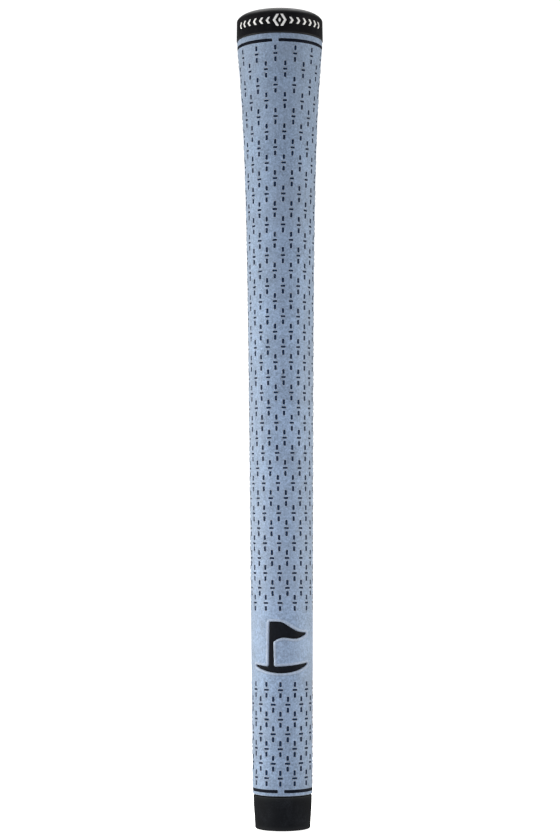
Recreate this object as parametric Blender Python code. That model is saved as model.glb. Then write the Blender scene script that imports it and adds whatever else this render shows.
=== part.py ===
"""Slip-on golf grip: a tapered rubber sleeve that is pushed over the butt end of a club shaft.

Row frame: metres, +Z along the grip from the open mouth to the closed butt end, -Y is the front
(the side that carries the emblem), origin at the centre of the mouth's flat end face.

How it goes together: a thin inner core tube carries the tapered shaft bore, a thicker outer cover is
bonded over it, a butt cap is keyed into the cover's upper end with an annular tongue, and a tip collar
closes the lower end of both tubes.  Inlays of another colour fill shallow grooves and pockets.
"""
import math

import bmesh
import bpy
from mathutils import Vector

MM = 0.001

# ---- driving dimensions, in millimetres -------------------------------------------------------
LENGTH = 267.0            # overall, mouth face to the crown of the cap
SEGMENTS = 48             # facets round the grip
GAP = 0.25                # bond line left between neighbouring solids

MOUTH_BORE_R = 6.55       # shaft bore at the mouth
BUTT_BORE_R = 7.55        # shaft bore at the butt end (a 15.2 mm shaft stretches it slightly)
CORE_MOUTH_R = 7.85       # outside of the core tube at the mouth
CORE_BUTT_R = 9.20        # outside of the core tube at the butt end
CORE_Z0 = 1.75            # lower end of the core tube, above the collar's turned-in lip
SEAT_Z = 261.0            # the shaft's end bottoms here, inside the cap

# outside of the cover: a straight taper plus a flare that grows towards the cap
TAPER_R0 = 9.40
TAPER_SLOPE = 0.0061
FLARE_R = 2.76
FLARE_Z = 253.4
FLARE_LENGTH = 33.0
COVER_Z0 = 11.2           # lower end of the cover, on top of the tip collar
COVER_Z1 = 257.8          # upper end of the cover, under the cap's lip
NECK_Z = 13.6             # below this the cover steps in by NECK_DROP
NECK_DROP = 0.07
SHOULDER_Z = 255.3        # above this the cover is a straight band
SHOULDER_R = 13.98

RING_W = 0.72             # the two thin coloured rings
RING_DEPTH = 0.75
UPPER_RING_Z = 255.62
LOWER_RING_Z = 12.80
UPPER_RING_TURN = -5.3    # degrees about Z: the breaks in the rings sit a little off the front
LOWER_RING_TURN = -2.5
RING_BREAK = 2.05         # gap in each ring at the front and at the back
RING_CLEAR = 0.12         # clearance round an inlay in its groove
INLAY_SINK = 0.06         # an inlay's face lies this far under the surface

EMBLEM_Z = 58.8           # centre of the flag-and-green emblem
EMBLEM_DEPTH = 0.80
EMBLEM_TURN = -1.3

CAP_Z0 = 258.05           # underside of the cap's lip
CAP_LIP_R = 14.32
CAP_TOP_R = 14.17
CAP_SIDE_Z = 264.75       # the straight side ends here and rolls over
CAP_SHOULDER_R = 12.75
CAP_SHOULDER_Z = 266.35
VENT_R = 1.30             # air vent through the cap
TONGUE_R0 = 10.35         # annular tongue under the cap
TONGUE_R1 = 11.55
TONGUE_Z = 254.0

BAND_Z = 262.2            # row of coloured marks round the cap's side
BAND_DEPTH = 0.60
CHEVRON_PITCH = 2.4
CHEVRONS = 6              # to each side of a middle mark
CHEVRON_FIRST = 3.9       # from the middle mark to the first chevron
CHEVRON_SIZE = (0.72, 1.05, 0.70)       # half width, half height, stroke measured along the band
BIG_CHEVRON_SIZE = (1.00, 1.95, 0.80)
BIG_CHEVRON_AT = 1.25
DIAMOND_SIZE = (0.42, 0.75)

COLLAR_Z1 = 10.85         # upper end of the tip collar
COLLAR_TOP_R = 9.40
COLLAR_LOW_R = 8.90
LIP_THICK = 1.50          # the collar's lip that covers the end of the core


def cover_radius(z):
    """Outside radius of the cover's patterned length at height z."""
    return TAPER_R0 + TAPER_SLOPE * z + FLARE_R * math.exp((z - FLARE_Z) / FLARE_LENGTH)


def skin_radius(z):
    """Outside radius of the cover anywhere, with its neck and its straight band."""
    if z >= SHOULDER_Z:
        return SHOULDER_R
    r = cover_radius(z)
    if z < NECK_Z:
        r -= NECK_DROP
    return min(r, SHOULDER_R - 0.10)


def core_radius(z):
    return CORE_MOUTH_R + (CORE_BUTT_R - CORE_MOUTH_R) * z / COVER_Z1


def bore_radius(z):
    return MOUTH_BORE_R + (BUTT_BORE_R - MOUTH_BORE_R) * min(z, COVER_Z1) / COVER_Z1


def cap_side_radius(z):
    return CAP_LIP_R + (CAP_TOP_R - CAP_LIP_R) * (z - CAP_Z0) / (CAP_SIDE_Z - CAP_Z0)


# ---- helpers ------------------------------------------------------------------------------------
def material(name, colour, roughness, metallic=0.0):
    m = bpy.data.materials.new(name)
    m.use_nodes = True
    p = m.node_tree.nodes["Principled BSDF"]
    p.inputs["Base Color"].default_value = (*colour, 1.0)
    p.inputs["Roughness"].default_value = roughness
    p.inputs["Metallic"].default_value = metallic
    return m


def place(name, bm, mat=None, parent=None, cutter=False):
    bmesh.ops.recalc_face_normals(bm, faces=bm.faces[:])
    mesh = bpy.data.meshes.new(name)
    bm.to_mesh(mesh)
    bm.free()
    obj = bpy.data.objects.new(name, mesh)
    bpy.context.scene.collection.objects.link(obj)
    if mat is not None:
        mesh.materials.append(mat)
    if cutter:
        obj.hide_render = True
        obj.display_type = "WIRE"
    else:
        mesh.shade_smooth()
        mesh.set_sharp_from_angle(angle=math.radians(30))
    if parent is not None:
        obj.parent = parent
    return obj


def lathe(profile, segments=SEGMENTS):
    """Turns a closed (radius, z) profile in mm a full turn about Z."""
    bm = bmesh.new()
    verts = [bm.verts.new((r * MM, 0.0, z * MM)) for r, z in profile]
    edges = [bm.edges.new((verts[i], verts[(i + 1) % len(verts)])) for i in range(len(verts))]
    bmesh.ops.spin(bm, geom=verts + edges, cent=(0, 0, 0), axis=(0, 0, 1), dvec=(0, 0, 0),
                   angle=2 * math.pi, steps=segments, use_merge=True, use_duplicate=False)
    bmesh.ops.remove_doubles(bm, verts=bm.verts[:], dist=1e-6)
    return bm


def rounded(points, radii, steps=4):
    """Replaces each corner of a polygon by an arc of the given radius (0 keeps the corner)."""
    out = []
    n = len(points)
    for i in range(n):
        p, a, b = Vector(points[i]), Vector(points[i - 1]), Vector(points[(i + 1) % n])
        r = radii[i]
        if r <= 0:
            out.append((p.x, p.y))
            continue
        da, db = (a - p).normalized(), (b - p).normalized()
        half = math.acos(max(-1.0, min(1.0, da.dot(db)))) / 2
        cut = min(r / math.tan(half), 0.49 * (a - p).length, 0.49 * (b - p).length)
        r = cut * math.tan(half)
        centre = p + (da + db).normalized() * (r / math.sin(half))
        start, end = p + da * cut, p + db * cut
        a0 = math.atan2(start.y - centre.y, start.x - centre.x)
        a1 = math.atan2(end.y - centre.y, end.x - centre.x)
        turn = (a1 - a0 + math.pi) % (2 * math.pi) - math.pi
        for k in range(steps + 1):
            t = a0 + turn * k / steps
            out.append((centre.x + r * math.cos(t), centre.y + r * math.sin(t)))
    return out


def bar(u0, u1, v0, v1, r):
    """A rounded rectangle outline."""
    return rounded([(u0, v0), (u1, v0), (u1, v1), (u0, v1)], [r] * 4, steps=3)


def wrap_prism(outlines, ref_r, z_mid, r_in, r_out, turn_deg=0.0, step_deg=7.5, rows=6.0):
    """Solids of the given (u, v) outlines wrapped round the grip: u is arc length at ref_r from the
    front, v is height above z_mid; r_in and r_out give the inner and outer radius at a height."""
    bm = bmesh.new()
    for outline in outlines:
        face = bm.faces.new([bm.verts.new((u, 0.0, v)) for u, v in outline])
        face.normal_update()
    us = [v.co.x for v in bm.verts]
    vs = [v.co.z for v in bm.verts]
    pitch = ref_r * math.radians(step_deg)
    for k in range(math.ceil(min(us) / pitch), math.floor(max(us) / pitch) + 1):
        bmesh.ops.bisect_plane(bm, geom=bm.verts[:] + bm.edges[:] + bm.faces[:], dist=1e-5,
                               plane_co=(k * pitch, 0, 0), plane_no=(1, 0, 0))
    for k in range(math.ceil(min(vs) / rows), math.floor(max(vs) / rows) + 1):
        bmesh.ops.bisect_plane(bm, geom=bm.verts[:] + bm.edges[:] + bm.faces[:], dist=1e-5,
                               plane_co=(0, 0, k * rows), plane_no=(0, 0, 1))
    bmesh.ops.triangulate(bm, faces=bm.faces[:])
    made = bmesh.ops.extrude_face_region(bm, geom=bm.faces[:], use_keep_orig=True)
    outer = {e for e in made["geom"] if isinstance(e, bmesh.types.BMVert)}
    for v in bm.verts:
        z = z_mid + v.co.z
        r = r_out(z) if v in outer else r_in(z)
        a = v.co.x / ref_r + math.radians(turn_deg)
        v.co = Vector((r * math.sin(a) * MM, -r * math.cos(a) * MM, z * MM))
    return bm


def cut(target, cutter):
    mod = target.modifiers.new("cut_" + cutter.name, "BOOLEAN")
    mod.operation = "DIFFERENCE"
    mod.solver = "EXACT"
    mod.object = cutter


def offset(points, grow):
    """Moves every side of a closed counter-clockwise outline outwards by grow."""
    out = []
    n = len(points)
    for i in range(n):
        p, before, after = Vector(points[i]), Vector(points[i - 1]), Vector(points[(i + 1) % n])
        a, b = (p - before).normalized(), (after - p).normalized()
        na, nb = Vector((a.y, -a.x)), Vector((b.y, -b.x))
        out.append(tuple(p + (na + nb) * grow / max(0.35, 1.0 + na.dot(nb))))
    return out


# ---- the emblem: a pennant on a staff that stands on a green, drawn as one brush-like shape -------
GREEN_HALF = 9.3          # half length of the curved stroke under the staff
STAFF_U = -3.4
STAFF_TOP = 8.15
PENNANT_LOW = 1.9
PENNANT_TIP = (8.7, 4.3)


def green_line(x):
    """Middle height of the curved stroke at x = u / GREEN_HALF."""
    return -7.15 + 1.45 * x * x + 0.25 * x


def green_half(x):
    return 0.30 + 0.72 * (1.0 - x * x) * (1.0 + 0.3 * x)


def staff_half(v):
    return 0.86 - 0.022 * (v + 6.0)


def pennant_edge(v_staff, v_tip, t):
    """A waving edge of the pennant from the staff (t = 0) to the tip (t = 1)."""
    return v_staff + (v_tip - v_staff) * t + 0.85 * math.sin(2 * math.pi * t) * (1.0 - 0.55 * t)


def emblem_outline(grow):
    points = []
    steps = 16
    # under side of the green, left to right
    for k in range(steps + 1):
        x = -1.0 + 2.0 * k / steps
        points.append((GREEN_HALF * x, green_line(x) - green_half(x)))
    points.append((GREEN_HALF + 0.28, green_line(1.0)))
    # upper side of the green back to the staff
    foot = -6.0
    staff_right = STAFF_U + staff_half(foot)
    staff_left = STAFF_U - staff_half(foot)
    for k in range(9):
        u = GREEN_HALF + (staff_right + 0.25 - GREEN_HALF) * k / 8
        points.append((u, green_line(u / GREEN_HALF) + green_half(u / GREEN_HALF)))
    # up the right of the staff, out along the pennant's lower edge and back along its upper edge
    points.append((staff_right - 0.02, foot + 0.45))
    points.append((STAFF_U + staff_half(PENNANT_LOW), PENNANT_LOW))
    start = STAFF_U + staff_half(PENNANT_LOW)
    tip_u, tip_v = PENNANT_TIP
    for k in range(1, 8):
        t = k / 8
        points.append((start + (tip_u - start) * t, pennant_edge(PENNANT_LOW, tip_v - 0.28, t)))
    points.append((tip_u, tip_v - 0.28))
    points.append((tip_u + 0.22, tip_v))
    points.append((tip_u, tip_v + 0.28))
    for k in range(7, 0, -1):
        t = k / 8
        points.append((start + (tip_u - start) * t, pennant_edge(STAFF_TOP, tip_v + 0.28, t)))
    points.append((STAFF_U + staff_half(STAFF_TOP), STAFF_TOP + 0.05))
    points.append((STAFF_U, STAFF_TOP + 0.12))
    points.append((STAFF_U - staff_half(STAFF_TOP) + 0.15, STAFF_TOP))
    points.append((STAFF_U - staff_half(STAFF_TOP), STAFF_TOP - 0.25))
    # down the left of the staff and along the green to its left end
    points.append((staff_left + 0.02, foot + 0.35))
    for k in range(7):
        u = staff_left - 0.25 + (-GREEN_HALF - staff_left + 0.25) * k / 6
        points.append((u, green_line(u / GREEN_HALF) + green_half(u / GREEN_HALF)))
    points.append((-GREEN_HALF - 0.28, green_line(-1.0)))
    return offset(points, grow) if grow else points


# ---- rings and the row of marks round the cap ------------------------------------------------------
def ring_outlines(ref_r, grow):
    """Two stadium-ended bars that together go round the grip, with a break at front and back."""
    quarter = math.pi * ref_r
    half = RING_BREAK / 2
    w = RING_W / 2 + grow
    return [bar(half - grow, quarter - half + grow, -w, w, 0.30 + grow),
            bar(-quarter + half - grow, -half + grow, -w, w, 0.30 + grow)]


def chevron(u, side, size):
    """A chevron at u that points along side (+1 or -1)."""
    w, h, stroke = size
    points = [(-w, -h), (-w + stroke, -h), (w, 0.0), (-w + stroke, h), (-w, h), (w - stroke, 0.0)]
    points = [(u + side * x, y) for x, y in points]
    return points if side > 0 else points[::-1]


def band_marks(grow):
    """Name and outline of each mark: at the front and at the back a diamond between two tall
    chevrons, with a run of small chevrons pointing away to each side."""
    turn = math.pi * CAP_LIP_R
    w, h = DIAMOND_SIZE
    made = []
    for place_name, u in (("front", 0.0), ("back", turn)):
        made.append(("cap_diamond_" + place_name, [(u - w, 0), (u, -h), (u + w, 0), (u, h)]))
        for side_name, side in (("right", 1), ("left", -1)):
            name = "cap_chevron_%s_%s_" % (place_name, side_name)
            made.append((name + "0", chevron(u + side * BIG_CHEVRON_AT, side, BIG_CHEVRON_SIZE)))
            for k in range(CHEVRONS):
                at = u + side * (CHEVRON_FIRST + CHEVRON_PITCH * k)
                made.append((name + str(k + 1), chevron(at, side, CHEVRON_SIZE)))
    return [(name, offset(points, grow) if grow else points) for name, points in made]


# ---- build --------------------------------------------------------------------------------------
for old in list(bpy.data.objects):
    bpy.data.objects.remove(old, do_unlink=True)

root = bpy.data.objects.new("grip", None)
bpy.context.scene.collection.objects.link(root)

grey_rubber = material("cover_grey_rubber", (0.245, 0.300, 0.400), 0.62)
black_rubber = material("black_rubber", (0.020, 0.020, 0.022), 0.55)
core_rubber = material("core_rubber", (0.030, 0.030, 0.032), 0.75)
dark_ink = material("dark_inlay", (0.012, 0.016, 0.030), 0.45)
white_ink = material("white_inlay", (0.80, 0.80, 0.80), 0.45)

# inner core: a thin tube with the tapered bore, chamfered at the mouth end
core = lathe([
    (bore_radius(CORE_Z0) + 0.25, CORE_Z0),
    (core_radius(CORE_Z0), CORE_Z0),
    (core_radius(COVER_Z1), COVER_Z1),
    (bore_radius(COVER_Z1), COVER_Z1),
    (bore_radius(CORE_Z0 + 3), CORE_Z0 + 3),
])
place("inner_core", core, core_rubber, root)

# outer cover: tapered and flared outside, straight taper inside, groove for the cap's tongue on top
stations = [NECK_Z + 0.4, 30, 60, 95, 130, 158, 182, 202, 218, 230, 240, 247.5, 252.5]
outside = [(skin_radius(COVER_Z0) - 0.25, COVER_Z0), (skin_radius(COVER_Z0 + 0.3), COVER_Z0 + 0.3),
           (skin_radius(NECK_Z - 0.05), NECK_Z - 0.05)]
outside += [(skin_radius(z), z) for z in stations]
outside += [(skin_radius(SHOULDER_Z - 0.2), SHOULDER_Z - 0.2), (SHOULDER_R, SHOULDER_Z + 0.05),
            (SHOULDER_R, COVER_Z1 - 0.2), (SHOULDER_R - 0.2, COVER_Z1)]
inside = [(TONGUE_R1 + GAP, COVER_Z1), (TONGUE_R1 + GAP, TONGUE_Z - GAP),
          (TONGUE_R0 - GAP, TONGUE_Z - GAP), (TONGUE_R0 - GAP, COVER_Z1),
          (core_radius(COVER_Z1) + GAP, COVER_Z1), (core_radius(COVER_Z0) + GAP, COVER_Z0)]
cover = place("grip_cover", lathe(outside + inside), grey_rubber, root)

# butt cap: rolled edge, slight crown, vent hole, counterbore for the shaft's end, keying tongue
roll = []
for k in range(6):
    t = math.pi / 2 * k / 5
    roll.append((CAP_SHOULDER_R + (CAP_TOP_R - CAP_SHOULDER_R) * math.cos(t),
                 CAP_SIDE_Z + (CAP_SHOULDER_Z - CAP_SIDE_Z) * math.sin(t)))
crown = [(r, CAP_SHOULDER_Z + (LENGTH - CAP_SHOULDER_Z) * (1 - (r / CAP_SHOULDER_R) ** 2))
         for r in (9.0, 5.5)]
crown.append((VENT_R + 0.45, LENGTH))
cap_profile = [(CAP_LIP_R - 0.2, CAP_Z0), (CAP_LIP_R, CAP_Z0 + 0.2)] + roll + crown + [
    (VENT_R, LENGTH - 0.45), (VENT_R, SEAT_Z), (BUTT_BORE_R, SEAT_Z), (BUTT_BORE_R, CAP_Z0),
    (TONGUE_R0, CAP_Z0), (TONGUE_R0, TONGUE_Z), (TONGUE_R1, TONGUE_Z), (TONGUE_R1, CAP_Z0)]
cap = place("butt_cap", lathe(cap_profile), black_rubber, root)

# tip collar: sleeve round the core's lower end with a lip turned in under it
collar_profile = [
    (MOUTH_BORE_R + 0.30, 0.0), (COLLAR_LOW_R - 0.55, 0.0), (COLLAR_LOW_R - 0.16, 0.16),
    (COLLAR_LOW_R, 0.55), (COLLAR_TOP_R, COLLAR_Z1 - 0.35), (COLLAR_TOP_R - 0.1, COLLAR_Z1 - 0.1),
    (COLLAR_TOP_R - 0.35, COLLAR_Z1), (core_radius(COLLAR_Z1) + GAP, COLLAR_Z1),
    (core_radius(LIP_THICK) + GAP, LIP_THICK), (bore_radius(LIP_THICK), LIP_THICK),
    (MOUTH_BORE_R, 0.45)]
place("tip_collar", lathe(collar_profile), black_rubber, root)

# the two rings: each is two bars, left and right, in grooves cut into the cover
for name, z, turn in (("upper_ring_inlay", UPPER_RING_Z, UPPER_RING_TURN),
                      ("lower_ring_inlay", LOWER_RING_Z, LOWER_RING_TURN)):
    surface = SHOULDER_R if z > 200 else skin_radius(z)
    groove = wrap_prism(ring_outlines(surface, RING_CLEAR), surface, z,
                        lambda q, s=surface: s - RING_DEPTH, lambda q, s=surface: s + 0.6, turn)
    cut(cover, place("cutter_" + name, groove, cutter=True))
    for side, outline in zip(("right", "left"), ring_outlines(surface, 0.0)):
        inlay = wrap_prism([outline], surface, z, lambda q, s=surface: s - RING_DEPTH + RING_CLEAR,
                           lambda q, s=surface: s - INLAY_SINK, turn)
        place(name + "_" + side, inlay, dark_ink, root)

# the emblem in its pocket
emblem_r = skin_radius(EMBLEM_Z)
pocket = wrap_prism([emblem_outline(RING_CLEAR)], emblem_r, EMBLEM_Z,
                    lambda q: skin_radius(q) - EMBLEM_DEPTH, lambda q: skin_radius(q) + 0.6, EMBLEM_TURN)
cut(cover, place("cutter_emblem", pocket, cutter=True))
emblem = wrap_prism([emblem_outline(0.0)], emblem_r, EMBLEM_Z,
                    lambda q: skin_radius(q) - EMBLEM_DEPTH + RING_CLEAR,
                    lambda q: skin_radius(q) - INLAY_SINK, EMBLEM_TURN)
place("emblem_inlay", emblem, dark_ink, root)

# the row of white marks round the cap
pockets = wrap_prism([outline for _, outline in band_marks(RING_CLEAR)], CAP_LIP_R, BAND_Z,
                     lambda q: cap_side_radius(q) - BAND_DEPTH, lambda q: cap_side_radius(q) + 0.6)
cut(cap, place("cutter_band", pockets, cutter=True))
for name, outline in band_marks(0.0):
    mark = wrap_prism([outline], CAP_LIP_R, BAND_Z,
                      lambda q: cap_side_radius(q) - BAND_DEPTH + RING_CLEAR,
                      lambda q: cap_side_radius(q) - INLAY_SINK)
    place(name, mark, white_ink, root)
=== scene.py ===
"""Looks of a slip-on golf grip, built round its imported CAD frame.

Lengths are millimetres up to the point where a mesh is made, and angles are degrees.  A place on the
skin is (a, z, h): z is the height over the mouth, h the height over the skin, and a the angle from the
front in the pattern's own frame, which leans a few degrees along the grip as the moulded rows do.
"""

import math

import bmesh
import bpy
import numpy as np
from mathutils import Matrix, Vector
from mathutils.geometry import delaunay_2d_cdt


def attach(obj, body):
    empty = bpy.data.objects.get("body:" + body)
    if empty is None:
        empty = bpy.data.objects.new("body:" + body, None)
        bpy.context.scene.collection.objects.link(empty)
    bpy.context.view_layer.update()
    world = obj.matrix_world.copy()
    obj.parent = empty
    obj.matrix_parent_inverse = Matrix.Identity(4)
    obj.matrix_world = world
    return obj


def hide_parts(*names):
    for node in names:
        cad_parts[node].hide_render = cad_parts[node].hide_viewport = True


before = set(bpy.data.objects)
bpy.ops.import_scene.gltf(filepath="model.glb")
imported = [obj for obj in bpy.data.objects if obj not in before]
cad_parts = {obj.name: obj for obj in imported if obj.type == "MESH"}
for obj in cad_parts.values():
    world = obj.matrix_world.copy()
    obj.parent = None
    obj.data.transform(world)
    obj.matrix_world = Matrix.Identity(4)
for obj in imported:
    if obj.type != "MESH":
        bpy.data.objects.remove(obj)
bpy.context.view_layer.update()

MM = 0.001
STEP = 3.75                       # degrees between the columns of a plain round mesh

# ---- the object's sizes: the CAD's, with the cover 0.15 to 0.3 fuller, as the photo's outline shows it --
LENGTH = 267.0
MOUTH_BORE_R, BUTT_BORE_R = 6.55, 7.55
CORE_MOUTH_R, CORE_BUTT_R, CORE_Z0 = 7.85, 9.20, 1.75
SEAT_Z = 261.0
COVER_Z0, COVER_Z1, COVER_TOP = 11.2, 257.8, 258.0
RING_HALF, RING_BREAK = 0.50, 2.05
UPPER_RING_Z, UPPER_RING_TURN = 255.67, -6.0
LOWER_RING_Z, LOWER_RING_TURN = 12.78, -3.2
EMBLEM_Z, EMBLEM_TURN = 58.8, -1.3
BAND_R = 14.09
CAP_Z0, CAP_LIP_R, CAP_TOP_R, CAP_SIDE_Z = 258.05, 14.32, 14.22, 264.75
CAP_SHOULDER_R, CAP_SHOULDER_Z, CAP_ROLL = 10.93, 266.93, 1.3
VENT_R = 1.30
TONGUE_R0, TONGUE_R1, TONGUE_Z = 10.35, 11.55, 254.0
BAND_Z = 262.2
COLLAR_Z1, COLLAR_TOP_R, COLLAR_LOW_R, LIP_THICK = 10.85, 9.50, 9.00, 1.50


def ease(x):
    x = np.clip(x, 0.0, 1.0)
    return x * x * (3.0 - 2.0 * x)


def skin(z):
    """Outside radius of the cover: straight taper, flare towards the cap, neck at the mouth, a plain
    band that stands a hair proud round the emblem, and a straight band under the cap."""
    z = np.asarray(z, float)
    r = 9.71 + 0.00545 * z + 2.76 * np.exp((z - 253.4) / 33.0)
    r = r - 0.07 * (1.0 - ease((z - 12.5) / 1.2))
    r = r + 0.055 * ease((z - 47.2) / 1.3) * (1.0 - ease((z - 69.3) / 1.3))
    top = ease((z - 255.15) / 0.9)
    return r * (1.0 - top) + BAND_R * top


LEAN = ((-20.0, -4.7), (0.0, -4.6), (20.0, -4.35), (45.0, -3.35), (73.0, -3.5), (92.0, -4.6), (112.0, -6.45),
        (131.0, -8.65), (151.0, -9.8), (171.0, -10.1), (191.0, -9.8), (206.0, -9.1), (221.0, -7.85),
        (236.0, -6.65), (251.0, -6.1), (267.0, -5.9), (290.0, -5.8))


def lean(z):
    """How far the moulded pattern is turned at height z: a smooth curve through LEAN."""
    z = np.asarray(z, float)
    zs = np.array([k[0] for k in LEAN])
    ts = np.array([k[1] for k in LEAN])
    slope = np.gradient(ts, zs)
    i = np.clip(np.searchsorted(zs, z) - 1, 0, len(zs) - 2)
    d = zs[i + 1] - zs[i]
    t = (z - zs[i]) / d
    return ((2 * t ** 3 - 3 * t ** 2 + 1) * ts[i] + (t ** 3 - 2 * t ** 2 + t) * d * slope[i]
            + (3 * t ** 2 - 2 * t ** 3) * ts[i + 1] + (t ** 3 - t ** 2) * d * slope[i + 1])


def no_lean(z):
    return np.zeros_like(np.asarray(z, float))


def core_r(z):
    return CORE_MOUTH_R + (CORE_BUTT_R - CORE_MOUTH_R) * z / COVER_Z1


def bore_r(z):
    return MOUTH_BORE_R + (BUTT_BORE_R - MOUTH_BORE_R) * min(z, COVER_Z1) / COVER_Z1


def cap_side(z):
    return CAP_LIP_R + (CAP_TOP_R - CAP_LIP_R) * (np.asarray(z, float) - CAP_Z0) / (CAP_SIDE_Z - CAP_Z0)


# ---- mesh building -------------------------------------------------------------------------------
class Build:
    """Collects points (x, y, z in mm, with a lightening value that holds real edge wear and painted highlights) and
    faces, and welds points that coincide.
    """

    def __init__(self):
        self.points, self.wear_and_highlight, self.faces, self.count = [], [], [], 0

    def add(self, xyz, faces, wear_and_highlight=0.0):
        xyz = np.asarray(xyz, float).reshape(-1, 3)
        self.points.append(xyz)
        self.wear_and_highlight.append(np.broadcast_to(np.asarray(wear_and_highlight, float), (len(xyz),)).copy())
        for f in faces:
            f = np.asarray(f, int)
            if len(f):
                self.faces.append(f + self.count)
        self.count += len(xyz)

    def make(self, name, sharp=38.0):
        xyz = np.concatenate(self.points)
        wear_and_highlight = np.concatenate(self.wear_and_highlight)
        _, first, index = np.unique(np.round(xyz, 4), axis=0, return_index=True, return_inverse=True)
        index = index.reshape(-1)
        top = np.zeros(len(first))
        np.maximum.at(top, index, wear_and_highlight)
        faces = []
        for f in self.faces:
            f = index[f]
            if f.shape[1] == 4:
                a, b, c, d = f.T
                keep = (a != b) & (b != c) & (c != d) & (d != a) & (a != c) & (b != d)
                faces += f[keep].tolist()
                faces += [[x for i, x in enumerate(row) if x != row[i - 1]] for row in f[~keep].tolist()]
            else:
                keep = (f[:, 0] != f[:, 1]) & (f[:, 1] != f[:, 2]) & (f[:, 2] != f[:, 0])
                faces += f[keep].tolist()
        faces = [f for f in faces if len(set(f)) >= 3]
        mesh = bpy.data.meshes.new(name)
        mesh.from_pydata((xyz[first] * MM).tolist(), [], faces)
        mesh.update()
        # per-point lightening value: real edge wear plus painted highlights on lips, the emblem border, the cap's roll
        # and the collar's top edge
        value = mesh.attributes.new("wear_and_highlight", "FLOAT", "POINT")
        value.data.foreach_set("value", top.astype(np.float32))
        bm = bmesh.new()
        bm.from_mesh(mesh)
        bmesh.ops.recalc_face_normals(bm, faces=bm.faces[:])
        bm.to_mesh(mesh)
        bm.free()
        mesh.shade_smooth()
        mesh.set_sharp_from_angle(angle=math.radians(sharp))
        obj = bpy.data.objects.new(name, mesh)
        bpy.context.scene.collection.objects.link(obj)
        return obj


class Skin:
    """A surface of revolution on which (a, z, h) places lie."""

    def __init__(self, radius, turn):
        self.radius, self.turn = radius, turn

    def xyz(self, a, z, h=0.0):
        a, z = np.asarray(a, float), np.asarray(z, float)
        t = np.radians(a + self.turn(z))
        r = self.radius(z) + h
        return np.stack([r * np.sin(t), -r * np.cos(t), z + 0 * t], -1)


cover_skin, cap_skin = Skin(skin, lean), Skin(cap_side, no_lean)


def inside(points, loop):
    """Whether each point lies inside a closed loop."""
    x, y = points[:, 0][:, None], points[:, 1][:, None]
    ax, ay = loop[:, 0][None], loop[:, 1][None]
    bx, by = np.roll(loop[:, 0], -1)[None], np.roll(loop[:, 1], -1)[None]
    crosses = (ay > y) != (by > y)
    with np.errstate(divide="ignore", invalid="ignore"):
        at = (bx - ax) * (y - ay) / (by - ay) + ax
    return (np.sum(crosses & (x < at), axis=1) % 2).astype(bool)


def distance(points, loop):
    """Distance from each point to a closed loop."""
    out = np.full(len(points), 1e9)
    b = np.roll(loop, -1, axis=0)
    for k in range(0, len(points), 2000):
        p = points[k:k + 2000, None, :]
        d = b[None] - loop[None]
        t = np.clip(np.sum((p - loop[None]) * d, -1) / np.maximum(np.sum(d * d, -1), 1e-12), 0, 1)
        out[k:k + 2000] = np.sqrt(np.min(np.sum((loop[None] + d * t[..., None] - p) ** 2, -1), axis=1))
    return out


def triangulate(points, loops, holes=(), outer=None):
    """Triangles over the points that keep every loop's edges, with the holes left open."""
    edges = [(int(l[i]), int(l[(i + 1) % len(l)])) for l in list(loops) + list(holes) for i in range(len(l))]
    _, _, found, origin, _, _ = delaunay_2d_cdt([Vector(p) for p in points], edges, [], 0, 1e-7, True)
    back = np.array([o[0] if o else -1 for o in origin])
    tris = back[np.array([f for f in found if len(f) == 3], int)]
    tris = tris[(tris >= 0).all(axis=1)]
    middle = points[tris].mean(axis=1)
    keep = np.ones(len(tris), bool)
    for hole in holes:
        keep &= ~inside(middle, points[np.asarray(hole)])
    if outer is not None:
        keep &= inside(middle, points[np.asarray(outer)])
    d1, d2 = points[tris[:, 1]] - points[tris[:, 0]], points[tris[:, 2]] - points[tris[:, 0]]
    keep &= np.abs(d1[:, 0] * d2[:, 1] - d1[:, 1] * d2[:, 0]) > 1e-9
    return tris[keep]


def offset(points, grow):
    """Moves every side of a closed counter-clockwise outline outwards by grow."""
    p = np.asarray(points, float)
    a = p - np.roll(p, 1, axis=0)
    b = np.roll(p, -1, axis=0) - p
    a /= np.linalg.norm(a, axis=1)[:, None]
    b /= np.linalg.norm(b, axis=1)[:, None]
    na, nb = np.stack([a[:, 1], -a[:, 0]], 1), np.stack([b[:, 1], -b[:, 0]], 1)
    return p + (na + nb) * grow / np.maximum(0.35, 1.0 + np.sum(na * nb, 1))[:, None]


def rounded_bar(hw, hh, r, steps=2):
    """A rounded rectangle round the origin, counter-clockwise."""
    out = []
    for k, (cx, cy) in enumerate(((hw - r, hh - r), (r - hw, hh - r), (r - hw, r - hh), (hw - r, r - hh))):
        for i in range(steps + 1):
            t = math.pi / 2 * (k + i / steps)
            out.append((cx + r * math.cos(t), cy + r * math.sin(t)))
    return np.array(out)


def ring_quads(n, low, high):
    """Quads between two rings of n points that start at low and high."""
    i = np.arange(n)
    j = (i + 1) % n
    return np.stack([low + i, low + j, high + j, high + i], 1)


def chain(build, rings, first=None, wear_and_highlight=None):
    """Joins rings of points, each given as xyz."""
    n = len(rings[0])
    faces = [ring_quads(n, k * n, (k + 1) * n) for k in range(len(rings) - 1)]
    values = 0.0 if wear_and_highlight is None else np.repeat(np.asarray(wear_and_highlight, float), n)
    build.add(np.concatenate(rings), faces, values)


def circle(r, z, turn=0.0, step=STEP):
    """Points of a level ring, a step apart; a step of 0 takes the cover's own angles."""
    t = np.radians((np.arange(-180.0, 180.0 - 1e-6, step) if step else RIM) + turn)
    return np.stack([r * np.sin(t), -r * np.cos(t), np.full_like(t, z)], -1)


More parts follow.
